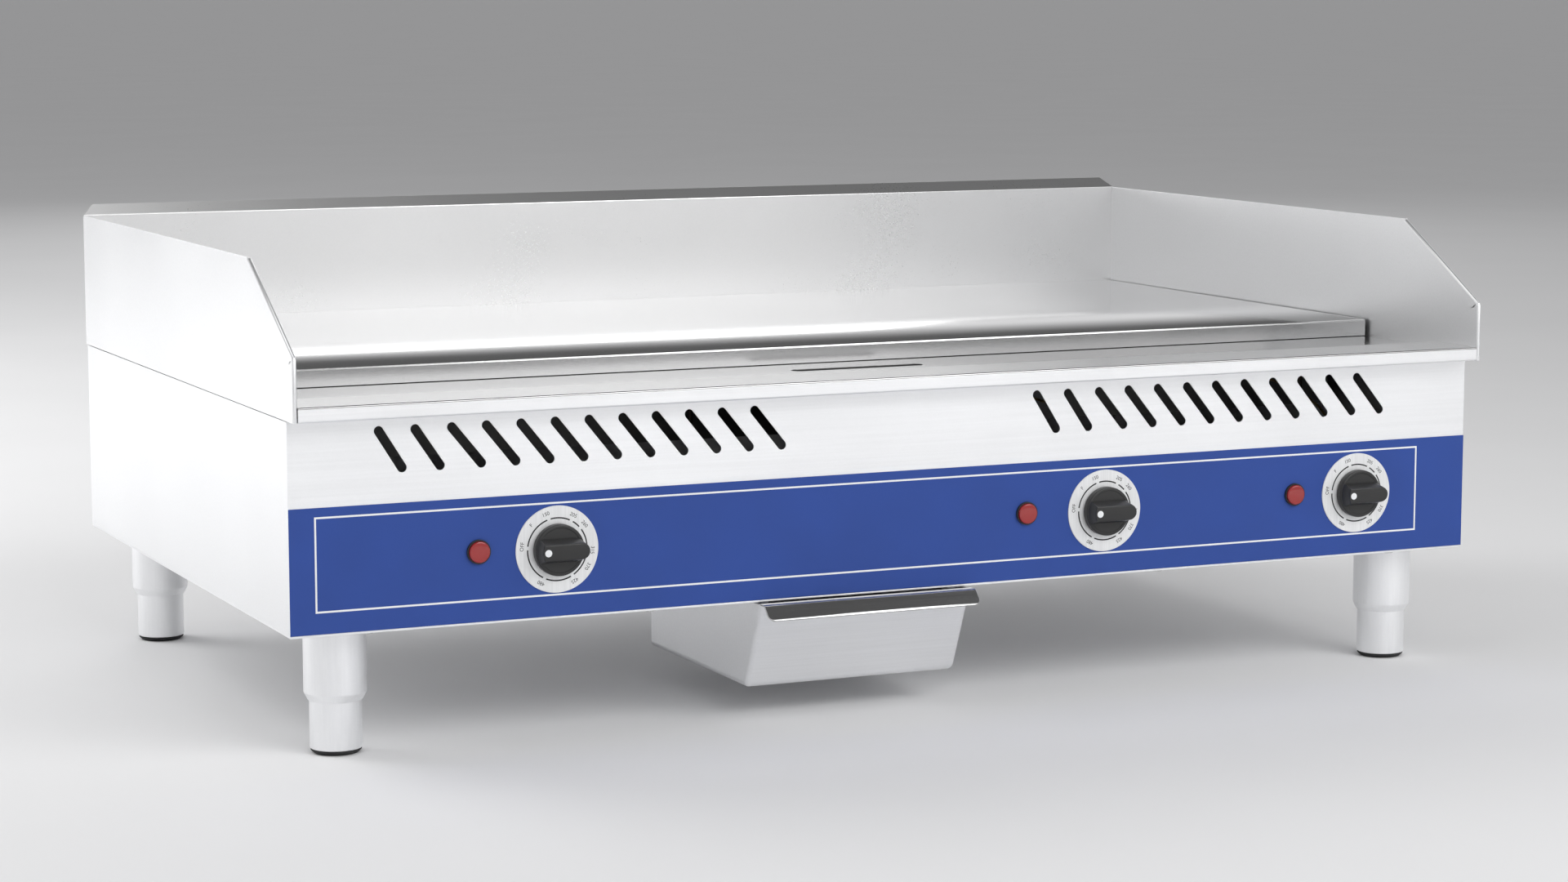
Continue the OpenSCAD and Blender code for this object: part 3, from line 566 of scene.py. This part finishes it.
def guard(side, node):
    """Side guard: a sheet whose front and sloping edges are folded over into a flat hem."""
    hem, leg, r = 3.2 * MM, 9 * MM, 1.6 * MM
    hw = GUARD_HW
    y0, y_slope = APRON_Y, FRONT_Y + 80 * MM
    z_front = TOP_Z + 43.5 * MM
    slope = math.atan2(GUARD_Z - z_front, y_slope - y0)
    corner, end_gap = 1.6 * MM, 0.8 * MM
    along = Vector((math.cos(slope), math.sin(slope)))
    a, b = Vector((y0, z_front)), Vector((y_slope, GUARD_Z))
    path = [Vector((y0, APRON_Z)), a - Vector((0, corner)), a + along * corner * 0.9,
            b - along * end_gap]
    # Section of the hem: out of the plain sheet, round the fold and back down inside
    turn = arc((0, 0), 1, 180, 0, 8)
    outer = [(hw - r - r * c, r - r * s) for c, s in turn]
    inner = [(hw - r - (r - SHEET) * c, r - (r - SHEET) * s) for c, s in turn]
    section = [(hw, leg)] + [(x, d) for x, d in outer] + [(hw - hem, leg), (hw - hem + SHEET, leg)]
    section += [(x, d) for x, d in inner[::-1]] + [(hw - SHEET, leg)]
    rings = []
    for i, p in enumerate(path):
        if i == 0:
            inward, stretch = Vector((1, 0)), 1.0
        elif i == len(path) - 1:
            inward, stretch = Vector((along.y, -along.x)), 1.0
        else:
            before, after = (path[i] - path[i - 1]).normalized(), (path[i + 1] - path[i]).normalized()
            n0, n1 = Vector((before.y, -before.x)), Vector((after.y, -after.x))
            inward = (n0 + n1).normalized()
            stretch = 1 / inward.dot(n0)
        rings.append([(side * x, p.x + inward.x * d * stretch, p.y + inward.y * d * stretch)
                      for x, d in section])
    bm = loft(rings)
    # The plain sheet, which starts under the hem's inner edge and lies a hair inside its outer face
    lap, hair = 0.5 * MM, 0.02 * MM
    inset = leg - lap
    drop = inset * (along.x - (1 - along.y) * along.y / along.x)
    hem_end = b + Vector((along.y, -along.x)) * inset - along * end_gap
    sheet = [(y0 + inset, APRON_Z), (BACK_Y, APRON_Z), (BACK_Y, GUARD_Z), (y_slope, GUARD_Z),
             tuple(hem_end), (y0 + inset, z_front - drop)]
    flat = loft([[(side * x, y, z) for y, z in sheet] for x in (hw - SHEET, hw - hair)])
    merge(bm, flat)
    piece(node + "_sheet", bm, LOOKS["side_steel"], [node], bevel=0.2 * MM, angle=40)


def splash():
    """Back splash: upright sheet with its top edge turned back at 45 degrees, mitred at both ends."""
    y, fold_z = BACK_Y - SHEET / 2, GUARD_Z + 0.1 * MM
    turn, bend, mitre = 7.8 * MM, 0.8 * MM, 9 * MM
    path = rounded([(y, APRON_Z), (y, fold_z), (y + turn, fold_z + turn)], [0, bend, 0], closed=False)

    def reach(z):
        """Half width: between the guards below the fold, out over their tops and mitred above it."""
        if z < GUARD_Z - 0.3 * MM:
            return GUARD_HW - 1.3 * MM
        return GUARD_HW - 0.2 * MM - max(0, z - GUARD_Z - 0.4 * MM) / turn * mitre

    bm = across(sheet_outline(path, SHEET), reach)
    piece("splash_sheet", bm, LOOKS["splash"], ["back_splash"], bevel=0.2 * MM, angle=40)


def plate():
    """Ground plate: a chamfer along the top of its front and left edges, and margins that were dressed
    by hand, so that they mirror a little higher than the middle does; and the studs welded under it."""
    lo, hi = low("griddle_plate"), high("griddle_plate")
    ease, fine, least = 0.9 * MM, 0.3 * MM, 0.1 * MM
    front, side, right = 150 * MM, 60 * MM, 2.5 * MM
    rows = [(lo.y + least, PLATE_Z), (lo.y, PLATE_Z + least), (lo.y, hi.z - 1.35 * MM),
            (lo.y + 0.6 * MM, hi.z - 0.32 * MM), (lo.y + 0.85 * MM, hi.z),
            (lo.y + front, hi.z), (hi.y, hi.z), (hi.y, PLATE_Z)]
    columns = [(lo.x, ease, fine), (lo.x + ease, 0, 0), (lo.x + side, 0, 0), (hi.x - right, 0, 0),
               (hi.x - fine, 0, 0), (hi.x, fine, fine)]
    bm = bmesh.new()
    made = []
    for x, drop, rise in columns:
        made.append([bm.verts.new((x, y, z + rise if z < hi.z - 2 * ease else z - drop))
                     for y, z in rows])
    for a, b in zip(made, made[1:]):
        bridge(bm, a, b)
    bm.faces.new(made[0])
    bm.faces.new(made[-1])
    bmesh.ops.recalc_face_normals(bm, faces=bm.faces)
    # Steep faces keep their own shading
    steep = 0.55
    crisp = dict.fromkeys(e for f in bm.faces if f.normal.z < steep for e in f.edges)
    bmesh.ops.split_edges(bm, edges=list(crisp))
    # The studs, cut off just below the slab and run up into it
    studs = cad_copy("griddle_plate")
    cut = PLATE_Z - 0.05 * MM
    bmesh.ops.bisect_plane(studs, geom=studs.verts[:] + studs.edges[:] + studs.faces[:], dist=SAME_POINT,
                           plane_co=(0, 0, cut), plane_no=(0, 0, 1), clear_outer=True)
    for vert in studs.verts:
        if vert.co.z > cut - 10 * SAME_POINT:
            vert.co.z = PLATE_Z + fine
    bmesh.ops.holes_fill(studs, edges=studs.edges)
    bmesh.ops.recalc_face_normals(studs, faces=studs.faces)
    merge(bm, studs)
    piece("plate_slab", bm, LOOKS["plate_steel"], ["griddle_plate"], angle=56, smooth=True)


# ---------------------------------------------------------------- controls


def text_mesh(text, size):
    """Flat raised lettering with its middle at the origin, in X and Y."""
    curve = bpy.data.curves.new("letters", "FONT")
    curve.body = text
    curve.size = size
    curve.align_x, curve.align_y = "CENTER", "CENTER"
    curve.extrude = 0.02 * MM
    curve.resolution_u = 6
    obj = bpy.data.objects.new("letters", curve)
    bpy.context.scene.collection.objects.link(obj)
    bpy.context.view_layer.update()
    mesh = bpy.data.meshes.new_from_object(obj.evaluated_get(bpy.context.evaluated_depsgraph_get()))
    bpy.data.objects.remove(obj)
    bpy.data.curves.remove(curve)
    return mesh


def dial(number):
    """Round plate with a broken ring and numbers printed on it; angles run clockwise from the top."""
    node = "dial_" + number
    centre = middle(node)
    back, face = high(node).y, low(node).y
    r, bore, ease = (high(node).z - low(node).z) / 2, 5.2 * MM, 0.25 * MM
    thick = back - face
    profile = [(bore, 0), (bore, thick), (r - ease, thick), (r, thick - ease), (r, 0), (bore, 0)]
    bm = lathe(profile, (centre.x, back, centre.z), "Y", 128)
    bmesh.ops.remove_doubles(bm, verts=bm.verts, dist=SAME_POINT)
    piece("dial_plate_" + number, bm, LOOKS["dial_print"], [node], smooth=True)
    ring_r, stroke, proud = 21.2 * MM, 0.95 * MM, 0.04 * MM
    inside, outside = ring_r - stroke / 2, ring_r + stroke / 2
    breaks, half_break, step = (275, 344, 388.6, 411, 455, 510, 566, 635), 3.3, 3
    ink = bmesh.new()
    for start, end in zip(breaks, breaks[1:]):
        a0, a1 = start + half_break, end - half_break
        steps = max(4, int((a1 - a0) / step))
        rings = []
        for k in range(steps + 1):
            a = math.radians(a0 + (a1 - a0) * k / steps)
            x, z = math.sin(a), math.cos(a)
            rings.append([(centre.x + x * rr, yy, centre.z + z * rr)
                          for rr, yy in ((inside, face), (outside, face),
                                         (outside, face - proud), (inside, face - proud))])
        merge(ink, loft(rings))
    text_r, text_size = 25.2 * MM, 3.6 * MM
    labels = [("OFF", 277), ("F", 313), ("150", 341.5), ("205", 27.6), ("260", 51), ("315", 95),
              ("370", 121), ("425", 151), ("480", 208)]
    for text, angle in labels:
        mesh = text_mesh(text, text_size)
        a = math.radians(angle)
        out = Vector((math.sin(a), 0, math.cos(a))) * text_r
        spot = Vector((centre.x, face - proud / 2, centre.z)) + out
        stand = Matrix.Rotation(a, 4, "Y") @ Matrix.Rotation(math.pi / 2, 4, "X")
        mesh.transform(Matrix.Translation(spot) @ stand)
        ink.from_mesh(mesh)
        bpy.data.meshes.remove(mesh)
    piece("dial_numbers_" + number, ink, DIAL_INK, body="griddle")


def knob(number):
    """Round skirt with a bar across it: flanks that draw in, a scooped pointer end, a round far end."""
    node, body = "knob_" + number, "knob_" + number + "_body"
    centre = middle("shaft_" + number)
    back, nose = high(node).y, low(node).y
    r, skirt, fillet, ease, sunk = 17.5 * MM, 5.5 * MM, 1.1 * MM, 0.3 * MM, 0.25 * MM
    profile = [(0, 0), (r - ease, 0), (r, ease)]
    profile += arc((r - fillet, skirt - fillet), fillet, 0, 90, 5)
    profile += [(r - 2.2 * MM, skirt), (r - 2.5 * MM, skirt - sunk), (0, skirt - sunk)]
    bm = lathe(profile, (centre.x, back, centre.z), "Y", 96)
    depth = back - skirt - nose

    def bar_outline(level):
        """The bar's outline at a level from 0 at the skirt to 1 at the nose, anticlockwise."""
        half = (8.3 - 3.0 * level) * MM
        far, end = 17.9 * MM, 5.3 * MM + 2.6 * MM * (1 - level)
        points = [(far - end + end * math.sin(t), -half * math.cos(t)) for t in
                  [math.pi * k / 16 for k in range(17)]]
        scoop = 1.5 * MM * (1 - math.sqrt(max(0, 1 - (1 - level) ** 2)))
        shift = 0.8 * MM
        reach = 15.4 * MM + scoop + shift
        sweep = math.asin(half / reach)
        points += [(shift - reach * math.cos(t), reach * math.sin(t)) for t in
                   [sweep * (1 - k / 4) for k in range(9)]]
        root = 1 * MM if level <= 0 else 0
        y = back - skirt + root - depth * level
        return [(centre.x + x, y, centre.z + z) for x, z in points]

    bar = loft([bar_outline(level) for level in (0, 0.08, 0.2, 0.35, 0.55, 0.8, 1)])
    edges = [e for e in bar.edges if all(v.co.y < nose + 0.01 * MM for v in e.verts)]
    round_edges(bar, edges, 0.6 * MM, 3)
    merge(bm, bar)
    piece("knob_grip_" + number, bm, LOOKS["knob_plastic"], [node], body=body, angle=28, smooth=True)
    # White pointer dot, slightly domed
    dot_x, dot_r = centre.x - 11.9 * MM, 2.45 * MM
    dome = [(0, 0), (dot_r, 0), (dot_r, 0.06 * MM), (2.3 * MM, 0.12 * MM), (0, 0.14 * MM)]
    dot = lathe(dome, (dot_x, nose, centre.z), "Y", 40)
    piece("knob_dot_" + number, dot, WHITE_PRINT, body=body, smooth=True)


def lamp(number):
    """Pilot lamp's lens: a round rim and a jewel-cut face."""
    node = "lamp_lens_" + number
    lo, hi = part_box(node)
    centre = (lo + hi) / 2
    r, fillet = (hi.z - lo.z) / 2, 1.1 * MM
    shoulder = hi.y - lo.y - 1.5 * MM
    rim = [(r, 0), (r, shoulder)] + arc((r - fillet, shoulder), fillet, 0, 80, 4)
    bm = bmesh.new()
    segments = 24

    def point(radius, y, i):
        a = 2 * math.pi * i / segments
        return bm.verts.new((centre.x + radius * math.cos(a), y, centre.z + radius * math.sin(a)))

    rings = [[point(radius, hi.y - height, i) for i in range(segments)] for radius, height in rim]
    for a, b in zip(rings, rings[1:]):
        bridge(bm, a, b)
    # Two rings of facets; the inner ring stands proud of the middle
    count = segments // 2
    facet_r, facet_y, tip_y = 4.2 * MM, lo.y + 0.12 * MM, lo.y + 0.28 * MM
    inner = [point(facet_r, facet_y, 2 * i + 1) for i in range(count)]
    tip = bm.verts.new((centre.x, tip_y, centre.z))
    last = rings[-1]
    for i in range(count):
        j = (i + 1) % count
        bm.faces.new((last[2 * i], last[2 * i + 1], inner[i]))
        bm.faces.new((last[2 * i + 1], last[(2 * i + 2) % segments], inner[i]))
        bm.faces.new((last[(2 * i + 2) % segments], inner[j], inner[i]))
        bm.faces.new((inner[i], inner[j], tip))
    bm.faces.new(rings[0])
    bmesh.ops.recalc_face_normals(bm, faces=bm.faces)
    piece("lamp_jewel_" + number, bm, LOOKS["lamp_red"], [node], angle=12)


# ---------------------------------------------------------------- drip tray


def rounded_rectangle(x0, x1, y0, y1, radius):
    """Outline of a rectangle with round corners."""
    corners = [((x1 - radius, y0 + radius), -90), ((x1 - radius, y1 - radius), 0),
               ((x0 + radius, y1 - radius), 90), ((x0 + radius, y0 + radius), 180)]
    return [point for centre, start in corners for point in arc(centre, radius, start, start + 90, 5)]


def tray():
    """Pressed tray: sloping front, rounded corners and foot, and side edges turned inwards."""
    lo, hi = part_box("drip_tray")
    t, r = SHEET, 4.2 * MM
    ri = r - t
    foot_y, lead_y = FRONT_Y + 21 * MM, FRONT_Y - 6 * MM
    top = hi.z
    back_top, brim = top - 6.5 * MM, top - 0.1 * MM
    lean = (foot_y - lead_y) / (top - lo.z)

    def ring(z, inset, radius, back_z=None):
        """Outline at a height; back_z is the height of its back edge, where that is lower."""
        front, back = foot_y - lean * (z - lo.z) + inset, hi.y - inset
        back_edge = back - radius - 0.1 * MM
        return [(x, y, back_z if back_z and y > back_edge else z)
                for x, y in rounded_rectangle(lo.x + inset, hi.x - inset, front, back, radius)]

    outer, inner = [], []
    for degrees in (0, 18, 36, 54, 72, 90):
        up, out = 1 - math.cos(math.radians(degrees)), math.sin(math.radians(degrees))
        outer.append(ring(lo.z + r * up, r - r * out, max(0.3 * MM, r * out)))
        inner.append(ring(lo.z + t + ri * up, r - ri * out, max(0.25 * MM, ri * out)))
    outer.append(ring(brim, 0, r, back_top))
    inner.append(ring(brim, t, ri, back_top))
    bm = loft(outer + inner[::-1])
    lap, width, ease = 0.6 * MM, 12 * MM, 0.5 * MM
    y0, y1 = lead_y + 14 * MM, hi.y - 1 * MM
    for x0, x1 in ((lo.x + lap, lo.x + width), (hi.x - width, hi.x - lap)):
        strip = rounded([(x0, top - t), (x1, top - t), (x1, top), (x0, top)], [0, ease, ease, 0], 3)
        merge(bm, loft([[(x, y, z) for x, z in strip] for y in (y0, y1)]))
    piece("tray_pressing", bm, LOOKS["tray"], ["drip_tray"], bevel=0.15 * MM, angle=50)


def tray_pull():
    """Pull: a short flat, a bend and a flap with rounded lower corners."""
    lo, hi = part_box("tray_handle")
    t = SHEET
    z = hi.z - t / 2
    back, bend_y = hi.y, FRONT_Y - 11 * MM
    flap, bend, corner = 13.0 * MM, 1.6 * MM, 5 * MM
    down = Vector((-1, -1)).normalized() * flap
    path = rounded([(back, z), (bend_y, z), (bend_y + down.x, z + down.y)], [0, bend, 0], 6,
                   closed=False)
    # More stations towards the flap's edge, where its corners round off
    bend_end, tip = Vector(path[-2]), Vector(path[-1])
    length = (tip - bend_end).length
    shares = [1 - corner * (1 - math.sin(math.radians(degrees))) / length
              for degrees in range(0, 91, 15)]
    stations = path[:-1] + [tuple(bend_end + (tip - bend_end) * share) for share in shares]
    middle_x, half = (lo.x + hi.x) / 2, (hi.x - lo.x) / 2
    upper, lower = offset_path(stations, -t / 2), offset_path(stations, t / 2)
    rings = []
    for i, p in enumerate(stations):
        left = (tip - Vector(p)).length if i >= len(path) - 1 else length
        cut = corner - math.sqrt(max(0, corner ** 2 - (corner - left) ** 2)) if left < corner else 0
        x0, x1 = middle_x - half + cut, middle_x + half - cut
        rings.append([(x0, *upper[i]), (x1, *upper[i]), (x1, *lower[i]), (x0, *lower[i])])
    piece("tray_pull", loft(rings), LOOKS["pull"], ["tray_handle"], bevel=0.25 * MM, angle=50)


# ---------------------------------------------------------------- legs


def turned(name, profile, centre, node):
    """A solid turned about an upright axis; the profile's own ends lie on the axis."""
    profile = [(0, profile[0][1])] + profile + [(0, profile[-1][1])]
    piece(name, lathe(profile, (centre.x, centre.y, 0)), LOOKS[SLOT_OF[node]], [node], smooth=True)


def width_of(node):
    return high(node).x - low(node).x


def leg_parts(corner):
    """A leg: a tube with a drawn-in lower end, a foot that slides up its bore, and a glide."""
    leg, foot, glide = "leg_" + corner, "foot_" + corner, "glide_" + corner
    centre = middle(foot)
    leg_r, foot_r, glide_r = width_of(leg) / 2, width_of(foot) / 2, width_of(glide) / 2
    bore = foot_r + 0.3 * MM
    z0, glide_z = low(leg).z, high(glide).z
    bore_top, foot_top = z0 + 34 * MM, z0 + 31.5 * MM
    shoulder = rounded([(leg_r, CASE_Z), (leg_r, z0 + 5.2 * MM), (foot_r + 0.9 * MM, z0), (bore, z0)],
                       [0, 3 * MM, 0.6 * MM, 0], 5, closed=False)
    turned("leg_tube_" + corner, shoulder + [(bore, bore_top)], centre, leg)
    tube = rounded([(foot_r - 1.2 * MM, glide_z), (foot_r, glide_z), (foot_r, foot_top)],
                   [0, 0.9 * MM, 0], 4, closed=False)
    turned("foot_tube_" + corner, tube, centre, foot)
    pad = rounded([(glide_r - 2.2 * MM, 0), (glide_r, 2.0 * MM), (glide_r, glide_z)],
                  [0, 0.6 * MM, 0], 4, closed=False)
    turned("glide_pad_" + corner, pad, centre, glide)


# ---------------------------------------------------------------- the rest of the frame


def plain_nodes(done):
    """Every node that no piece replaces keeps its own shape and takes its slot's look."""
    for node, obj in frame["nodes"].items():
        if node in done:
            continue
        obj.data.materials.clear()
        obj.data.materials.append(LOOKS.get(node, LOOKS[SLOT_OF[node]]))


case_sheets()
band_outline()
apron()
bead()
trough()
slot_painted_shade()
guard(-1, "guard_left")
guard(1, "guard_right")
splash()
plate()
for zone in ZONES:
    dial(zone)
    knob(zone)
    lamp(zone)
tray()
tray_pull()
for place in CORNERS:
    leg_parts(place)
plain_nodes({n for o in bpy.data.objects for n in o.get("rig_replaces", [])})

# ---------------------------------------------------------------- studio


def floor():
    """Wide plain floor."""
    half_width = 120
    bm = bmesh.new()
    bmesh.ops.create_grid(bm, x_segments=8, y_segments=8, size=half_width)
    mesh = bpy.data.meshes.new("floor")
    bm.to_mesh(mesh)
    bm.free()
    look = Look("floor", (0.79, 0.79, 0.795), roughness=0.8)
    look.tint(look.remap(look.noise(even(3)), 0, 1), 0.99, 1.01)
    mesh.materials.append(look.material)
    obj = bpy.data.objects.new("floor", mesh)
    bpy.context.scene.collection.objects.link(obj)


def soft_light(name, place, aim, size, radiance, mirrored=True):
    """A softbox of even brightness that isn't seen itself; mirrored says if polished metal shows it."""
    data = bpy.data.lights.new(name, "AREA")
    data.shape = "RECTANGLE"
    data.size, data.size_y = size
    data.energy = radiance * math.pi * size[0] * size[1]
    obj = bpy.data.objects.new(name, data)
    bpy.context.scene.collection.objects.link(obj)
    obj.location = place
    obj.rotation_mode = "QUATERNION"
    obj.rotation_quaternion = (Vector(aim) - Vector(place)).to_track_quat("-Z", "Y")
    obj.visible_camera = False
    obj.visible_glossy = mirrored


def studio():
    """Floor, sky and softboxes."""
    floor()
    world = bpy.data.worlds.new("studio")
    bpy.context.scene.world = world
    world.use_nodes = True
    tree = world.node_tree
    back = tree.nodes["Background"]
    place = tree.nodes.new("ShaderNodeTexCoord")
    split = tree.nodes.new("ShaderNodeSeparateXYZ")
    ramp = tree.nodes.new("ShaderNodeValToRGB")
    tree.links.new(place.outputs["Generated"], split.inputs["Vector"])
    tree.links.new(split.outputs["Z"], ramp.inputs["Fac"])
    tree.links.new(ramp.outputs["Color"], back.inputs["Color"])
    # Pale from the horizon up, dim overhead, and a touch cool
    stops, cool = ((0.0, 0.66), (0.12, 0.72), (0.42, 0.88), (0.68, 0.12)), 1.01
    bands = ramp.color_ramp.elements
    while len(bands) < len(stops):
        bands.new(0.5)
    for band, (height, level) in zip(bands, stops):
        band.position = height
        band.color = (level, level, level * cool, 1)
    # Softboxes: place, aim, size and brightness
    soft_light("front_low", (1.15, -3.7, 0.75), (0, 0, 0.3), (1.2, 0.5), 0.8)
    soft_light("front_floor", (1.5, -2.7, 1.7), (1.3, -2.6, 0), (2.2, 1.8), 2.4)
    soft_light("front_high", (0.6, -3.2, 2.6), (0.3, -0.6, 0), (3.0, 1.6), 2.6)
    soft_light("top_left", (-1.0, -0.2, 3.2), (-0.4, 0, 0.2), (2.4, 2.6), 1.2)
    soft_light("left_back", (-3.6, 3.0, 0.5), (-0.5, 0, 0.2), (3.0, 1.0), 1.6)
    soft_light("edge_high", (1.5, -2.1, 2.9), (0, -0.1, 0.25), (1.8, 0.6), 2.2)
    soft_light("right_back", (1.6, 4.7, 2.0), (0, 0, 0.2), (1.9, 1.5), 1.9)
    soft_light("left_floor", (-2.0, 1.9, 1.7), (-1.4, 1.7, 0), (1.8, 1.8), 5.0, mirrored=False)


def camera():
    """Camera ahead of the griddle and to its left, a little above it."""
    tilt_down, turn_right = 7.43, 24.54
    data = bpy.data.cameras.new("camera")
    data.lens = 81.94
    data.sensor_width = 36
    data.clip_start, data.clip_end = 0.05, 400
    cam = bpy.data.objects.new("camera", data)
    bpy.context.scene.collection.objects.link(cam)
    cam.location = (-1.1113, FRONT_Y - 2.2058, CASE_Z + 0.4270)
    cam.rotation_euler = (math.radians(90 - tilt_down), 0, math.radians(-turn_right))
    bpy.context.scene.camera = cam


studio()
camera()
bpy.context.scene.view_settings.view_transform = "Standard"
